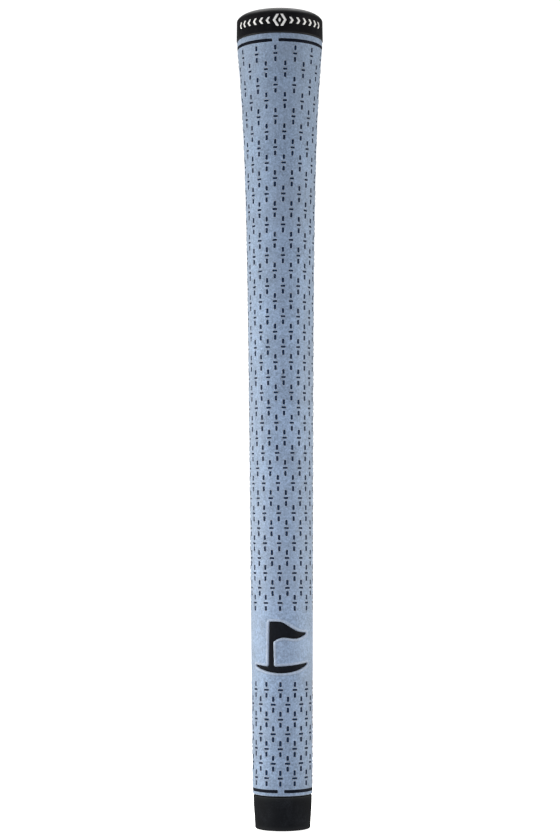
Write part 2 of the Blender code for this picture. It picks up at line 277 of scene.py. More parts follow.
def lathe(build, profile, step=2.5, wear_and_highlight=None):
    """Turns a closed profile of (radius, z) a full turn."""
    rings = [circle(r, z, 0.0, step) for r, z in profile]
    chain(build, rings + [rings[0]], wear_and_highlight=None if wear_and_highlight is None else list(wear_and_highlight) + [wear_and_highlight[0]])


def arc(centre_r, centre_z, radius, a0, a1, steps):
    """Points (radius, z) along an arc, angles in degrees from +r towards +z."""
    return [(centre_r + radius * math.cos(math.radians(a0 + (a1 - a0) * k / steps)),
             centre_z + radius * math.sin(math.radians(a0 + (a1 - a0) * k / steps))) for k in range(steps + 1)]


# ---- the moulded pattern: rows of upright, level, upright marks -----------------------------------
PITCH0, PITCH_GROWTH = 9.30947, 0.003706      # a row's height at the mouth, and how it grows with z


def z_of(w):
    return (np.exp(PITCH_GROWTH * np.asarray(w, float)) - PITCH0) / PITCH_GROWTH


UPPER_W, UPPER_ROWS, UPPER_HEAD = 627.7452, 19, 0.335    # the front column's highest cell in each group
LOWER_W, LOWER_ROWS = 606.8165, 4
STAGGER = 0.5038                              # the columns between lie this share of a row higher
UPRIGHT_AT = 0.1850
COLUMNS = 26                                  # of marks, evenly round the grip

rng = np.random.default_rng(20)


def column_angle(u):
    """Angle of a place counted in columns from the front."""
    return np.asarray(u, float) * 360.0 / COLUMNS


RIM = column_angle(np.arange(-2 * COLUMNS, 2 * COLUMNS) / 4)      # angles of the cover's plain mesh


def rim_from(seam):
    """The rim's angles over a full turn that ends at the one nearest to seam, and that angle."""
    at = RIM[np.argmin(np.abs((RIM - seam + 180.0) % 360.0 - 180.0))]
    end = at + 360.0 * round((seam - at) / 360.0)
    return np.append(np.sort((RIM - end) % 360.0 + end - 360.0), end), end


def mark_sizes(z):
    """Half width and half height of the upright and of the level mark at height z."""
    low, high = 1.0 - ease((z - 20.0) / 90.0), ease((z - 190.0) / 60.0)
    return ((0.345 + 0.02 * low - 0.01 * high, 0.775 + 0.02 * low - 0.03 * high),
            (0.72 + 0.12 * low - 0.05 * high, 0.292 + 0.015 * low))


class Cell:
    """One cell's marks: an upright, a level and an upright one."""

    def __init__(self, a, w):
        self.marks = []
        for k in (1, 0, -1):
            z = float(z_of(w + k * UPRIGHT_AT))
            upright, level = mark_sizes(z)
            hw, hh = level if k == 0 else upright
            grow = 1.0 + rng.uniform(-0.035, 0.035, 2)
            self.marks.append((a, z + rng.uniform(-0.02, 0.02), hw * grow[0], hh * grow[1],
                               0.5 * hh if k == 0 else 0.62 * hw))


def mark_ring(mark, grow):
    """(a, z) of one mark's outline, grown."""
    a, z, hw, hh, r = mark
    flat = rounded_bar(hw + grow, hh + grow, r + max(grow, -0.6 * r))
    return a + np.degrees(flat[:, 0] / skin(z)), z + flat[:, 1]


LIP_OUT, LIP_TOP, LIP_RISE = 0.20, 0.085, 0.022
MARK_POINTS = 12
UPRIGHT, LEVEL = (0.335, 0.78, 0.20), (0.71, 0.262, 0.14)      # the marks' usual half sizes and corners


def template(q_lo, q_hi, levels, centre):
    """Triangles of one block of the skin, a column wide, in (column share, row share), round a cell at
    centre.  The marks' outlines come after the plain points, 12 points each."""
    side, pitch = math.radians(360.0 / COLUMNS) * 10.6, 9.8
    plain = [(s * 0.5, q) for q in levels for s in (-1, 1)]
    plain += [(u, q) for q in (q_lo, q_hi) for u in (-0.25, 0.0, 0.25)]
    if centre is not None:
        for dq, us in ((0.375, (-0.25, 0, 0.25)), (-0.375, (-0.25, 0, 0.25)), (0.25, (-0.33, 0.33)),
                       (-0.25, (-0.33, 0.33)), (0.125, (-0.35, 0.35)), (-0.125, (-0.35, 0.35))):
            q = centre + dq
            if q_lo + 0.06 < q < q_hi - 0.06:
                plain += [(u, q) for u in us]
    else:
        plain += [(u, q) for q in levels[1:-1] for u in (-0.25, 0.0, 0.25)]
    plain = np.array(plain)
    flat = [plain * (side, pitch)]
    holes = []
    if centre is not None:
        for k, (dq, (hw, hh, r)) in enumerate(((UPRIGHT_AT, UPRIGHT), (0.0, LEVEL), (-UPRIGHT_AT, UPRIGHT))):
            ring = rounded_bar(hw + LIP_OUT, hh + LIP_OUT, r + LIP_OUT)
            ring[:, 1] += (centre + dq) * pitch
            holes.append(np.arange(MARK_POINTS) + len(plain) + MARK_POINTS * k)
            flat.append(ring)
    tris = triangulate(np.concatenate(flat), [], holes)
    return plain, tris


def block(build, cache, key, q_lo, q_hi, levels, centre, column, w, cell):
    if key not in cache:
        cache[key] = template(q_lo, q_hi, levels, centre)
    plain, tris = cache[key]
    rings = [cover_skin.xyz(column_angle(column + plain[:, 0]), z_of(w + plain[:, 1]))]
    if cell is not None:
        for mark in cell.marks:
            ra, rz = mark_ring(mark, LIP_OUT)
            rings.append(cover_skin.xyz(ra, rz))
    build.add(np.concatenate(rings), [tris])


def pattern(build, w_top, rows, head, foot):
    """One group of rows: the blocks of every column, from w_top + head down to the last row - foot."""
    eighth = [k / 8 for k in range(9)]
    cache, cells = {}, []
    w_last = w_top - rows + 1
    foot_levels = [-foot] + [-q for q in (0.375, 0.25, 0.125) if q < foot - 1e-9]
    for i in range(-COLUMNS // 2, COLUMNS // 2):
        a = float(column_angle(i))
        if i % 2 == 0:
            for k in range(rows):
                w = w_top - k
                lo = foot if k == rows - 1 else 0.5
                hi = head if k == 0 else 0.5
                levels = [-lo] + [q - 0.5 for q in eighth if 0.05 - lo < q - 0.5 < hi - 0.05] + [hi]
                cell = Cell(a, w)
                cells.append(cell)
                block(build, cache, ("A", lo, hi), -lo, hi, levels, 0.0, i, w, cell)
        else:
            block(build, cache, "head", 0.0, head, [0.0, 0.125, 0.25, head], None, i, w_top, None)
            for k in range(rows - 1):
                w = w_top - 1 - k
                cell = Cell(a, w + STAGGER)
                cells.append(cell)
                block(build, cache, "B", 0.0, 1.0, eighth, STAGGER, i, w, cell)
            block(build, cache, "foot", -foot, 0.0, foot_levels + [0.0], None, i, w_last, None)
    return cells


def recess(build, cells):
    """The lip, wall and floor of every mark's recess."""
    fan = triangulate(rounded_bar(*UPRIGHT), [np.arange(MARK_POINTS)])
    wide = triangulate(rounded_bar(*LEVEL), [np.arange(MARK_POINTS)])
    for cell in cells:
        for k, mark in enumerate(cell.marks):
            rings = []
            for grow, h in ((LIP_OUT, 0.0), (LIP_TOP, LIP_RISE), (0.0, -0.17)):
                ra, rz = mark_ring(mark, grow)
                rings.append(cover_skin.xyz(ra, rz, h))
            n = MARK_POINTS
            # the raised lip's crest is fully lightened: a painted highlight where the lip would catch the light, partly
            # edge wear
            build.add(np.concatenate(rings),
                      [ring_quads(n, 0, n), ring_quads(n, n, 2 * n), (wide if k == 1 else fan) + 2 * n],
                      np.repeat([0.0, 1.0, 0.2], n))


def mark_paint(build, cells):
    """The paint that fills the recesses: a low dome with a rounded edge, on a closed body."""
    fan = triangulate(rounded_bar(*UPRIGHT), [np.arange(MARK_POINTS)])
    wide = triangulate(rounded_bar(*LEVEL), [np.arange(MARK_POINTS)])
    n = MARK_POINTS
    for cell in cells:
        for k, mark in enumerate(cell.marks):
            rings = []
            for grow, h in ((-0.012, -0.15), (-0.004, -0.02), (-0.045, 0.055), (-0.13, 0.085)):
                ra, rz = mark_ring(mark, grow)
                rings.append(cover_skin.xyz(ra, rz, h))
            caps = wide if k == 1 else fan
            # the dome's crown is lightened, the level mark more than the upright ones: partly worn paint, partly a
            # painted highlight on the crown
            build.add(np.concatenate(rings),
                      [caps[:, ::-1], ring_quads(n, 0, n), ring_quads(n, n, 2 * n), ring_quads(n, 2 * n, 3 * n),
                       caps + 3 * n], np.repeat([0.0, 0.0, 0.3, 1.0 if k == 1 else 0.6], n))


# ---- zones that go all the way round and carry larger marks -------------------------------------
def zone(build, surface, z_lo, z_hi, outlines, extra, side_levels, scale_r, height, wear_and_highlight, rim_height, rim_rub_and_highlight):
    """A full turn of skin between two heights, with the outlines (a, z) left open.  extra are more points (a, z),
    height and the lightening value (edge wear and painted highlight) are functions of (a, z), and the rim is the
    outlines' own points."""
    columns = np.append(RIM, 180.0)
    frame_points = [(a, z_lo) for a in columns] + [(180.0, z) for z in side_levels]
    frame_points += [(a, z_hi) for a in columns[::-1]] + [(-180.0, z) for z in reversed(side_levels)]
    points, loops, at = [np.array(frame_points)], [], len(frame_points)
    for outline in outlines:
        loops.append(np.arange(len(outline)) + at)
        points.append(np.asarray(outline, float))
        at += len(outline)
    if len(extra):
        points.append(np.asarray(extra, float))
    points = np.concatenate(points)
    flat = points * (math.radians(1) * scale_r, 1.0)
    tris = triangulate(flat, [np.arange(len(frame_points))], loops)
    h, v = height(points[:, 0], points[:, 1]), wear_and_highlight(points[:, 0], points[:, 1])
    rim = np.concatenate(loops)
    h[rim], v[rim] = rim_height, rim_rub_and_highlight
    build.add(surface.xyz(points[:, 0], points[:, 1], h), [tris], v)
    return points, tris


def steps_of(surface, outline_of, build, steps, cap=None):
    """Rings of one outline at several (grow, h) steps, and a cap over the last one."""
    rings, n = [], None
    for grow, h in steps:
        a, z = outline_of(grow)
        n = len(a)
        rings.append(surface.xyz(a, z, h))
    faces = [ring_quads(n, k * n, (k + 1) * n) for k in range(len(steps) - 1)]
    if cap is not None:
        faces.append(cap + n * (len(steps) - 1))
    return np.concatenate(rings), faces, n


def outline_cap(a, z, r):
    flat = np.stack([np.radians(a) * r, z], 1)
    loop = np.arange(len(flat))
    return triangulate(flat, [loop], outer=loop)


# rings: two bars each, with a break at the front and at the back
def ring_bar(side, z_mid, turn, r, grow, half=RING_HALF):
    """(a, z) of one bar of a ring, its long sides cut every STEP degrees."""
    quarter, gap = math.pi * r, RING_BREAK / 2
    u0, u1, w = gap - grow, quarter - gap + grow, half + grow
    corner = min(0.30 + grow, w - 0.02)
    cuts = np.linspace(u0 + corner, u1 - corner, 48)
    points = [(u, -w) for u in cuts]
    points += [(u1 - corner + corner * math.sin(t), -w + corner - corner * math.cos(t))
               for t in np.linspace(0, math.pi / 2, 4)[1:]]
    points += [(u1 - corner + corner * math.cos(t), w - corner + corner * math.sin(t))
               for t in np.linspace(0, math.pi / 2, 4)[:-1]]
    points += [(u, w) for u in cuts[::-1]]
    points += [(u0 + corner - corner * math.sin(t), w - corner + corner * math.cos(t))
               for t in np.linspace(0, math.pi / 2, 4)[1:]]
    points += [(u0 + corner - corner * math.cos(t), -w + corner - corner * math.sin(t))
               for t in np.linspace(0, math.pi / 2, 4)[:-1]]
    flat = np.array(points)
    if side < 0:
        flat = flat * (-1, 1)
        flat = flat[::-1]
    theta = np.degrees(flat[:, 0] / r) + turn
    z = z_mid + flat[:, 1]
    a = theta - lean(z)
    return a, z


# the emblem: a pennant on a staff that stands on a green, drawn as one brush-like shape
GREEN_HALF, STAFF_U, STAFF_TOP, PENNANT_LOW, PENNANT_TIP = 9.3, -3.4, 8.15, 1.9, (8.7, 4.3)


def green_line(x):
    return -7.15 + 1.45 * x * x + 0.25 * x


def green_half(x):
    return 0.30 + 0.72 * (1.0 - x * x) * (1.0 + 0.3 * x)


def staff_half(v):
    return 0.86 - 0.022 * (v + 6.0)


def pennant_edge(v_staff, v_tip, t):
    return v_staff + (v_tip - v_staff) * t + 0.85 * math.sin(2 * math.pi * t) * (1.0 - 0.55 * t)


def emblem_outline():
    points = []
    for k in range(41):
        x = -1.0 + 2.0 * k / 40
        points.append((GREEN_HALF * x, green_line(x) - green_half(x)))
    points += [(GREEN_HALF + 0.20, green_line(1.0) - 0.18), (GREEN_HALF + 0.28, green_line(1.0)),
               (GREEN_HALF + 0.20, green_line(1.0) + 0.18)]
    foot = -6.0
    right, left = STAFF_U + staff_half(foot), STAFF_U - staff_half(foot)
    for k in range(23):
        u = GREEN_HALF + (right + 0.40 - GREEN_HALF) * k / 22
        points.append((u, green_line(u / GREEN_HALF) + green_half(u / GREEN_HALF)))
    points += [(right + 0.12, foot + 0.22), (right - 0.01, foot + 0.55)]
    for k in range(1, 12):
        v = foot + 0.55 + (PENNANT_LOW - foot - 0.85) * k / 12
        points.append((STAFF_U + staff_half(v), v))
    start = STAFF_U + staff_half(PENNANT_LOW)
    tip_u, tip_v = PENNANT_TIP
    points.append((start + 0.10, PENNANT_LOW - 0.05))
    for k in range(1, 24):
        t = k / 24
        points.append((start + (tip_u - start) * t, pennant_edge(PENNANT_LOW, tip_v - 0.28, t)))
    points += [(tip_u, tip_v - 0.28), (tip_u + 0.16, tip_v - 0.16), (tip_u + 0.22, tip_v),
               (tip_u + 0.16, tip_v + 0.16), (tip_u, tip_v + 0.28)]
    for k in range(23, 0, -1):
        t = k / 24
        points.append((start + (tip_u - start) * t, pennant_edge(STAFF_TOP, tip_v + 0.28, t)))
    w = staff_half(STAFF_TOP)
    points += [(STAFF_U + w, STAFF_TOP + 0.05), (STAFF_U + 0.3, STAFF_TOP + 0.12), (STAFF_U - 0.3, STAFF_TOP + 0.10),
               (STAFF_U - w + 0.18, STAFF_TOP - 0.02), (STAFF_U - w, STAFF_TOP - 0.25)]
    for k in range(1, 22):
        v = STAFF_TOP - 0.25 + (foot + 0.5 - STAFF_TOP + 0.25) * k / 22
        points.append((STAFF_U - staff_half(v), v))
    points += [(left + 0.01, foot + 0.5), (left - 0.10, foot + 0.18)]
    for k in range(14):
        u = left - 0.32 + (-GREEN_HALF - left + 0.32) * k / 13
        points.append((u, green_line(u / GREEN_HALF) + green_half(u / GREEN_HALF)))
    points += [(-GREEN_HALF - 0.20, green_line(-1.0) + 0.18), (-GREEN_HALF - 0.28, green_line(-1.0)),
               (-GREEN_HALF - 0.20, green_line(-1.0) - 0.18)]
    return np.array(points)


EMBLEM_R = float(skin(EMBLEM_Z))
EMBLEM = emblem_outline()
POCKET_GROW = 0.10


def emblem_flat(a, z):
    """(u, v) of a place on the skin, round the emblem's centre."""
    theta = np.asarray(a) + lean(z) - EMBLEM_TURN
    theta = (theta + 180.0) % 360.0 - 180.0
    return np.stack([np.radians(theta) * EMBLEM_R, np.asarray(z) - EMBLEM_Z], -1)


def emblem_place(flat):
    z = EMBLEM_Z + flat[:, 1]
    return np.degrees(flat[:, 0] / EMBLEM_R) + EMBLEM_TURN - lean(z), z


BEAD = np.array([(0.0, -0.10), (0.10, -0.015), (0.17, 0.105), (0.30, 0.195), (0.52, 0.235), (0.76, 0.20),
                 (0.93, 0.10), (1.05, 0.0), (1.20, -0.045), (1.38, -0.02), (1.60, 0.0), (99.0, 0.0)])
# how much the raised border is lightened, by distance from the emblem: a painted highlight on the border's crest,
# partly edge wear
BEAD_HIGHLIGHT = np.array([(0.0, 0.2), (0.10, 0.3), (0.17, 0.5), (0.76, 0.5), (0.95, 0.25), (1.05, 0.0), (99.0, 0.0)])
DOME = np.array([(0.0, -0.22), (0.06, -0.15), (0.14, -0.095), (0.26, -0.06), (0.45, -0.04), (99.0, -0.04)])


def ring_points(outline, d, gap, near):
    """Points at distance d outside (d > 0) or inside the outline, a gap apart, clear of the far side."""
    p = np.asarray(outline)
    q = np.roll(p, -1, axis=0)
    lengths = np.linalg.norm(q - p, axis=1)
    total = np.concatenate([[0.0], np.cumsum(lengths)])
    s = np.arange(0.0, total[-1], gap)
    i = np.clip(np.searchsorted(total, s, side="right") - 1, 0, len(p) - 1)
    t = ((s - total[i]) / lengths[i])[:, None]
    at = p[i] * (1 - t) + q[i] * t
    along = (q[i] - p[i]) / lengths[i][:, None]
    out = at + np.stack([along[:, 1], -along[:, 0]], 1) * d
    # fan round the corners
    a = np.roll(p, 1, axis=0)
    ta, tb = (p - a) / np.linalg.norm(p - a, axis=1)[:, None], (q - p) / lengths[:, None]
    normal = np.stack([ta[:, 1] + tb[:, 1], -ta[:, 0] - tb[:, 0]], 1)
    normal /= np.linalg.norm(normal, axis=1)[:, None]
    out = np.concatenate([out, p + normal * d])
    out = out[distance(out, p) > abs(d) - near]
    out = out[inside(out, p) == (d < 0)]
    return out


def thin(points, least, taken=None):
    """Drops points that lie nearer than least to one kept before."""
    kept, seen = [], {}
    given = [] if taken is None else list(taken)
    for k, p in enumerate(given + list(points)):
        cell = (int(p[0] // least), int(p[1] // least))
        close = any((p[0] - r[0]) ** 2 + (p[1] - r[1]) ** 2 < least * least
                    for i in (-1, 0, 1) for j in (-1, 0, 1) for r in seen.get((cell[0] + i, cell[1] + j), ()))
        if k < len(given) or not close:
            seen.setdefault(cell, []).append(p)
            if k >= len(given):
                kept.append(p)
    return np.array(kept)


def emblem_zone(build, z_lo, z_hi):
    """The plain band: the emblem's pocket edge, with a raised border that follows it all round."""
    edge = offset(EMBLEM, POCKET_GROW)
    points = [edge]
    for d, gap in ((0.17, 0.36), (0.30, 0.36), (0.52, 0.40), (0.76, 0.42), (0.93, 0.44), (1.05, 0.46),
                   (1.20, 0.50), (1.38, 0.55), (1.60, 0.62)):
        points.append(ring_points(EMBLEM, d, gap, 0.012))
    rings = thin(np.concatenate(points[1:]), 0.11, edge)
    grid = np.array([(u, v) for u in np.arange(-13.0, 13.1, 1.3) for v in np.arange(-9.6, 10.0, 1.2)])
    far = (distance(grid, EMBLEM) > 2.0) & ~inside(grid, EMBLEM)
    extra = np.concatenate([rings, grid[far]])
    a, z = emblem_place(extra)
    keep = (z > z_lo + 0.25) & (z < z_hi - 0.25)
    extra = np.stack([a, z], 1)[keep]
    back = [(a, z) for a in RIM[1:] for z in np.arange(z_lo + 1.5, z_hi - 1.0, 2.0) if abs(a + 2) > 82]
    ea, ez = emblem_place(edge)

    def flat_of(a, z):
        flat = emblem_flat(a, z)
        d = distance(flat, EMBLEM)
        d[np.abs(flat[:, 0]) > 14.0] = 50.0
        return d

    # the border follows BEAD_HIGHLIGHT and the pocket's rim is lightened by 0.6: painted highlight on the raised crest
    # and edge, partly edge wear
    zone(build, cover_skin, z_lo, z_hi, [np.stack([ea, ez], 1)], np.concatenate([extra, np.array(back)]),
         list(np.linspace(z_lo, z_hi, 12)[1:-1]), EMBLEM_R,
         lambda a, z: np.interp(flat_of(a, z), BEAD[:, 0], BEAD[:, 1]),
         lambda a, z: np.interp(flat_of(a, z), BEAD_HIGHLIGHT[:, 0], BEAD_HIGHLIGHT[:, 1]), -0.015, 0.6)
    floor_a, floor_z = emblem_place(offset(EMBLEM, POCKET_GROW - 0.015))
    n = len(edge)
    top = cover_skin.xyz(ea, ez, -0.015)
    low = cover_skin.xyz(floor_a, floor_z, -0.55)
    # the pocket wall's top edge is lightened like the rim: painted highlight and edge wear
    build.add(np.concatenate([top, low]),
              [ring_quads(n, 0, n), outline_cap(floor_a, floor_z, EMBLEM_R) + n], np.repeat([0.6, 0.0], n))


def emblem_paint(build):
    """The emblem's paint: a closed body with a rounded shoulder and a faintly uneven face."""
    edge = offset(EMBLEM, 0.05)
    points = [ring_points(EMBLEM, -d, gap, 0.01) for d, gap in ((0.06, 0.34), (0.14, 0.36), (0.26, 0.40), (0.45, 0.5))]
    grid = np.array([(u, v) for u in np.arange(-10.0, 10.1, 0.55) for v in np.arange(-9.0, 9.1, 0.55)])
    grid = grid[inside(grid, EMBLEM)]
    grid = grid[distance(grid, EMBLEM) > 0.6]
    inner = thin(np.concatenate(points + [grid]), 0.10, edge)
    flat = np.concatenate([edge, inner])
    loop = np.arange(len(edge))
    tris = triangulate(flat, [loop], outer=loop)
    d = np.where(inside(flat, EMBLEM), distance(flat, EMBLEM), 0.0)
    h = np.interp(d, DOME[:, 0], DOME[:, 1])
    h = h + 0.008 * np.sin(flat[:, 0] * 2.1 + 0.7 * flat[:, 1]) * np.sin(flat[:, 1] * 1.7) * (d > 0.3)
    a, z = emblem_place(flat)
    la, lz = emblem_place(edge)
    n = len(edge)
    build.add(np.concatenate([cover_skin.xyz(a, z, h), cover_skin.xyz(la, lz, -0.50)]),
              [tris, ring_quads(n, len(flat), 0), outline_cap(la, lz, EMBLEM_R)[:, ::-1] + len(flat)],
              np.concatenate([np.clip(d / 0.4, 0, 1), np.zeros(n)]))


# ---- the row of marks round the cap -----------------------------------------------------------------
CHEVRON_PITCH, CHEVRONS, CHEVRON_FIRST = 2.4, 6, 3.9
CHEVRON_SIZE, BIG_CHEVRON_SIZE, BIG_CHEVRON_AT, DIAMOND_SIZE = (0.72, 1.05, 0.70), (1.00, 1.95, 0.80), 1.25, (0.42, 0.75)


def chevron(u, side, size):
    w, h, stroke = size
    points = [(-w, -h), (-w + stroke, -h), (w, 0.0), (-w + stroke, h), (-w, h), (w - stroke, 0.0)]
    points = [(u + side * x, y) for x, y in points]
    return np.array(points if side > 0 else points[::-1])


def cap_marks():
    """CAD node name and outline (u, v) of every mark."""
    turn = math.pi * CAP_LIP_R
    w, h = DIAMOND_SIZE
    made = []
    for side_of, u in (("front", 0.0), ("back", turn)):
        made.append(("cap_diamond_" + side_of, np.array([(u - w, 0), (u, -h), (u + w, 0), (u, h)])))
        for name, side in (("right", 1), ("left", -1)):
            base = "cap_chevron_%s_%s_" % (side_of, name)
            made.append((base + "0", chevron(u + side * BIG_CHEVRON_AT, side, BIG_CHEVRON_SIZE)))
            for k in range(CHEVRONS):
                made.append((base + str(k + 1),
                             chevron(u + side * (CHEVRON_FIRST + CHEVRON_PITCH * k), side, CHEVRON_SIZE)))
    return made


def split_long(points, longest=0.55):
    """Cuts an outline's long sides, so that it follows the round of the cap."""
    out = []
    for i, p in enumerate(points):
        q = points[(i + 1) % len(points)]
        n = max(1, math.ceil(np.linalg.norm(q - p) / longest))
        out += [p + (q - p) * k / n for k in range(n)]
    return np.array(out)


def soften(points, r=0.09):
    """Cuts each corner of an outline by a small chamfer."""
    out = []
    for i, p in enumerate(points):
        a, b = points[i - 1], points[(i + 1) % len(points)]
        out += [p + (a - p) / np.linalg.norm(a - p) * r, p + (b - p) / np.linalg.norm(b - p) * r]
    return np.array(out)


def cap_place(flat):
    return np.degrees(flat[:, 0] / CAP_LIP_R), BAND_Z + flat[:, 1]


# ---- materials -------------------------------------------------------------------------------------
class Nodes:
    """A short way to write a node tree."""

    def __init__(self, name):
        self.material = bpy.data.materials.new(name)
        self.material.use_nodes = True
        self.tree = self.material.node_tree
        self.shader = self.tree.nodes["Principled BSDF"]
        self.place = self.tree.nodes.new("ShaderNodeTexCoord").outputs["Object"]

    def node(self, kind, inputs=None, **settings):
        n = self.tree.nodes.new(kind)
        for key, value in settings.items():
            setattr(n, key, value)
        for key, value in (inputs or {}).items():
            self.give(n.inputs[key], value)
        return n

    def give(self, socket, value):
        if isinstance(value, bpy.types.NodeSocket):
            self.tree.links.new(value, socket)
        else:
            socket.default_value = value

    def stretched(self, x, y, z):
        return self.node("ShaderNodeVectorMath", {0: self.place, 1: (x, y, z)}, operation="MULTIPLY").outputs[0]

    def noise(self, scale, detail=2.0, roughness=0.5, distortion=0.0, place=None):
        return self.node("ShaderNodeTexNoise", {"Vector": place or self.place, "Scale": scale, "Detail": detail,
                                                "Roughness": roughness, "Distortion": distortion}).outputs["Fac"]

    def ramp(self, fac, stops):
        n = self.node("ShaderNodeValToRGB", {"Fac": fac})
        e = n.color_ramp.elements
        while len(e) < len(stops):
            e.new(0.5)
        for k, (at, colour) in enumerate(stops):
            e[k].position = at
            e[k].color = (*colour, 1.0)
        return n.outputs["Color"]

    def spread(self, fac, lo, hi, to_lo, to_hi):
        return self.node("ShaderNodeMapRange", {"Value": fac, "From Min": lo, "From Max": hi, "To Min": to_lo,
                                                "To Max": to_hi}).outputs["Result"]

    def mix(self, fac, a, b, blend="MIX"):
        n = self.node("ShaderNodeMix", data_type="RGBA", blend_type=blend)
        self.give(n.inputs[0], fac)
        self.give(n.inputs[6], a if isinstance(a, bpy.types.NodeSocket) else (*a, 1.0))
        self.give(n.inputs[7], b if isinstance(b, bpy.types.NodeSocket) else (*b, 1.0))
        return n.outputs[2]

    def maths(self, operation, a, b=0.0, clamp=False):
        n = self.node("ShaderNodeMath", operation=operation, use_clamp=clamp)
        self.give(n.inputs[0], a)
        self.give(n.inputs[1], b)
        return n.outputs[0]

    # the per-point lightening value, which holds real edge wear and painted highlights
    def wear_and_highlight(self):
        return self.node("ShaderNodeAttribute", attribute_name="wear_and_highlight", attribute_type="GEOMETRY").outputs["Fac"]

    def bump(self, height, strength, distance, normal=None):
        inputs = {"Height": height, "Strength": strength, "Distance": distance}
        if normal is not None:
            inputs["Normal"] = normal
        return self.node("ShaderNodeBump", inputs).outputs["Normal"]

    def set(self, **values):
        for key, value in values.items():
            self.give(self.shader.inputs[key.replace("_", " ")], value)
        return self.material


def times(colour, k):
    return tuple(min(1.0, c * k) for c in colour)


def cover_material():
    n = Nodes("cover_grey_rubber")
    base = (0.216, 0.295, 0.440)
    broad = n.noise(95.0, 3.0, 0.55)
    patch = n.noise(520.0, 3.0, 0.6)
    grain = n.noise(1650.0, 2.0, 0.65)
    both = n.maths("ADD", n.maths("MULTIPLY", broad, 0.22), n.maths("ADD", n.maths("MULTIPLY", patch, 0.20),
                                                                   n.maths("MULTIPLY", grain, 0.58)))
    colour = n.ramp(both, [(0.35, times(base, 0.58)), (0.50, base), (0.65, times(base, 1.46))])
    hue = n.noise(60.0, 2.0, 0.5)
    colour = n.mix(n.spread(hue, 0.35, 0.65, 0.0, 0.30), colour, (0.238, 0.290, 0.395))
    speck = n.spread(n.noise(1500.0, 1.0, 0.5, place=n.stretched(1.0, 1.0, 0.8)), 0.66, 0.74, 0.0, 0.35)
    colour = n.mix(speck, colour, times(base, 0.55))
    # paler grey where the lightening value is high: partly rubbed wear, partly a painted highlight on the mark lips,
    # the emblem's raised border and the ring lips
    rub_and_highlight_mix = n.maths("MULTIPLY", n.wear_and_highlight(), n.spread(patch, 0.3, 0.7, 0.45, 0.75))
    colour = n.mix(rub_and_highlight_mix, colour, (0.47, 0.50, 0.57))
    fine = n.bump(grain, 0.35, 0.00005)
    return n.set(Base_Color=colour, Roughness=n.spread(patch, 0.3, 0.7, 0.56, 0.70), Specular_IOR_Level=0.35,
                 Sheen_Weight=0.25, Sheen_Roughness=0.5, Sheen_Tint=(1.0, 1.0, 1.0, 1.0),
                 Normal=n.bump(patch, 0.25, 0.00006, fine))


def paint_material(name, base, worn_and_highlight_colour):
    n = Nodes(name)
    fleck = n.noise(1700.0, 2.0, 0.6)
    colour = n.ramp(fleck, [(0.3, times(base, 0.6)), (0.52, base), (0.72, times(base, 1.7))])
    # lighter where the lightening value is high: worn paint and a painted highlight on the paint's crown
    colour = n.mix(n.maths("MULTIPLY", n.wear_and_highlight(), 0.22), colour, worn_and_highlight_colour)
    return n.set(Base_Color=colour, Roughness=n.spread(fleck, 0.3, 0.7, 0.42, 0.60), Specular_IOR_Level=0.10,
                 Normal=n.bump(n.noise(2600.0, 1.0), 0.3, 0.00003))


def emblem_material():
    n = Nodes("emblem_charcoal_paint")
    base = (0.0042, 0.0052, 0.0085)
    weave = n.noise(900.0, 2.0, 0.6, place=n.stretched(1.6, 1.6, 0.7))
    fleck = n.noise(2300.0, 2.0, 0.6)
    both = n.maths("ADD", n.maths("MULTIPLY", weave, 0.5), n.maths("MULTIPLY", fleck, 0.5))
    colour = n.ramp(both, [(0.36, times(base, 0.62)), (0.50, base), (0.64, times(base, 1.55))])
    colour = n.mix(n.maths("SUBTRACT", 0.7, n.maths("MULTIPLY", n.wear_and_highlight(), 0.7)), colour, (0.006, 0.007, 0.010))
    return n.set(Base_Color=colour, Roughness=n.spread(fleck, 0.3, 0.7, 0.55, 0.72), Specular_IOR_Level=0.07,
                 Normal=n.bump(both, 0.4, 0.00006))


def black_rubber(name, base, smudge, rough, gloss=0.10, speck_scale=1900.0, rub_and_highlight_lift=0.30):
    n = Nodes(name)
    broad = n.noise(170.0, 3.0, 0.55, 0.3)
    grain = n.noise(speck_scale, 2.0, 0.6)
    both = n.maths("ADD", n.maths("MULTIPLY", broad, 0.6), n.maths("MULTIPLY", grain, 0.4))
    colour = n.ramp(both, [(0.36, times(base, 0.7)), (0.52, base), (0.68, smudge)])
    # mixed towards grey by the lightening value: real edge wear, and painted highlights on the cap's roll and the
    # collar's top edge
    colour = n.mix(n.maths("MULTIPLY", n.wear_and_highlight(), rub_and_highlight_lift), colour, (0.075, 0.080, 0.082))
    return n.set(Base_Color=colour, Roughness=n.spread(broad, 0.3, 0.7, rough - 0.07, rough + 0.08),
                 Specular_IOR_Level=gloss, Normal=n.bump(grain, 0.4, 0.00005))


def white_paint():
    n = Nodes("white_mark_paint")
    fleck = n.noise(1400.0, 2.0, 0.6)
    colour = n.ramp(fleck, [(0.28, (0.70, 0.71, 0.74)), (0.45, (0.90, 0.90, 0.92)), (0.7, (0.94, 0.94, 0.95))])
    return n.set(Base_Color=colour, Roughness=n.spread(fleck, 0.3, 0.7, 0.40, 0.55), Specular_IOR_Level=0.4,
                 Normal=n.bump(fleck, 0.25, 0.00003))


# ---- the pieces ------------------------------------------------------------------------------------
def finish_piece(build, name, material, slot, *nodes, sharp=38.0):
    obj = build.make(name, sharp)
    obj.data.materials.append(material)
    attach(obj, "root")
    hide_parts(*nodes)
    return obj


